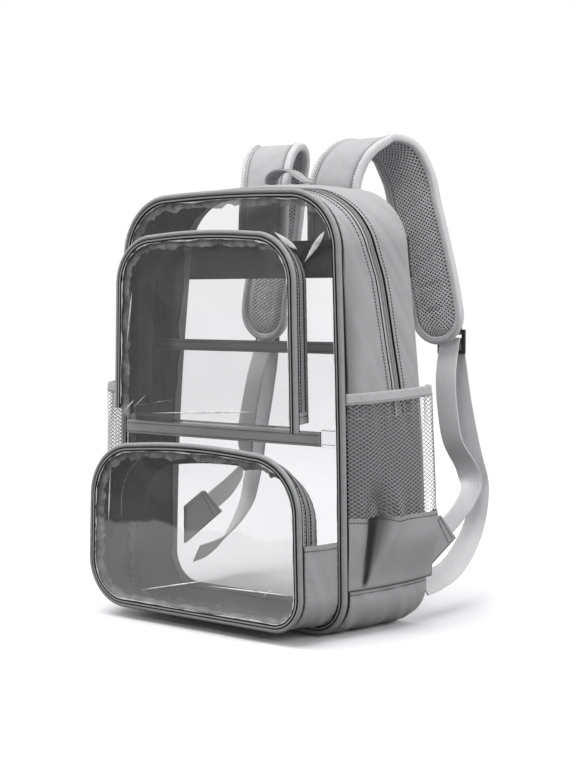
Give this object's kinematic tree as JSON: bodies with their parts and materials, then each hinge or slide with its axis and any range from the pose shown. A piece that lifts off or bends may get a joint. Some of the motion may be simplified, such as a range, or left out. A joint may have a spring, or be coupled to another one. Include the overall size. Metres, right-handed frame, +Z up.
{
  "type": "clear backpack",
  "caption": "Clear backpack with cloth side walls, front pockets with zippers, mesh side pockets, padded shoulder straps and adjustable webbing.",
  "frame": {"origin": "bottom centre of the bounding box, on the floor", "axes": "+Z up, -Y toward the front pockets, +Y toward the straps, +X toward the right-hand side seen from the front"},
  "size_m": [0.376, 0.2992, 0.5067],
  "materials": {
    "body_cloth": "plain grey coated polyester cloth",
    "trim_cloth": "mid grey cloth trim, stitched along its edges",
    "band_cloth": "dark grey cloth band",
    "piping_cloth": "dark grey cloth over a cord",
    "zipper_tape": "woven tape with a nylon coil",
    "slider_metal": "dark enamelled metal",
    "clear_film": "clear soft PVC sheet",
    "pocket_mesh": "open knitted mesh",
    "elastic_binding": "light grey folded elastic",
    "air_mesh": "padded spacer mesh",
    "strap_cloth": "light grey cloth",
    "strap_binding": "light grey folded binding",
    "webbing": "woven polyester webbing",
    "lock_plastic": "dark moulded plastic"
  },
  "bodies": {
    "root": {"gusset_front_strip": "body_cloth", "gusset_rear_strip": "body_cloth", "main_zipper": "zipper_tape", "side_and_base_panel": "body_cloth", "main_piping": "piping_cloth", "front_panel": "clear_film", "back_panel": "clear_film", "back_seam_binding": "trim_cloth", "front_mid_band": "trim_cloth", "strap_anchor_band": "band_cloth", "inner_sleeve": "clear_film", "inner_sleeve_binding": "trim_cloth", "upper_pocket_panel": "clear_film", "upper_pocket_piping": "piping_cloth", "upper_gusset_front": "body_cloth", "upper_gusset_rear": "body_cloth", "upper_zipper": "zipper_tape", "upper_gusset_end_right": "trim_cloth", "upper_gusset_end_left": "trim_cloth", "upper_pocket_floor": "clear_film", "lower_pocket_panel": "clear_film", "lower_pocket_piping": "piping_cloth", "lower_gusset_front": "body_cloth", "lower_gusset_rear": "body_cloth", "lower_zipper": "zipper_tape", "lower_foot_gusset": "body_cloth", "side_pocket_cloth_right": "body_cloth", "side_pocket_cloth_left": "body_cloth", "side_pocket_mesh_right": "pocket_mesh", "side_pocket_mesh_left": "pocket_mesh", "side_pocket_binding_right": "elastic_binding", "side_pocket_binding_left": "elastic_binding", "strap_pad_right": "air_mesh", "strap_pad_left": "air_mesh", "strap_cover_right": "strap_cloth", "strap_cover_left": "strap_cloth", "strap_binding_right": "strap_binding", "strap_binding_left": "strap_binding", "ladder_lock_right": "lock_plastic", "ladder_lock_left": "lock_plastic", "webbing_right": "webbing", "webbing_left": "webbing", "lock_loop_right": "webbing", "lock_loop_left": "webbing", "strap_tab_right": "trim_cloth", "strap_tab_left": "trim_cloth", "top_handle": "webbing", "upper_slider": "slider_metal", "upper_slider_pull": "slider_metal", "lower_slider": "slider_metal", "lower_slider_pull": "slider_metal", "main_slider": "slider_metal", "main_slider_pull": "slider_metal"}
  },
  "joints": []
}
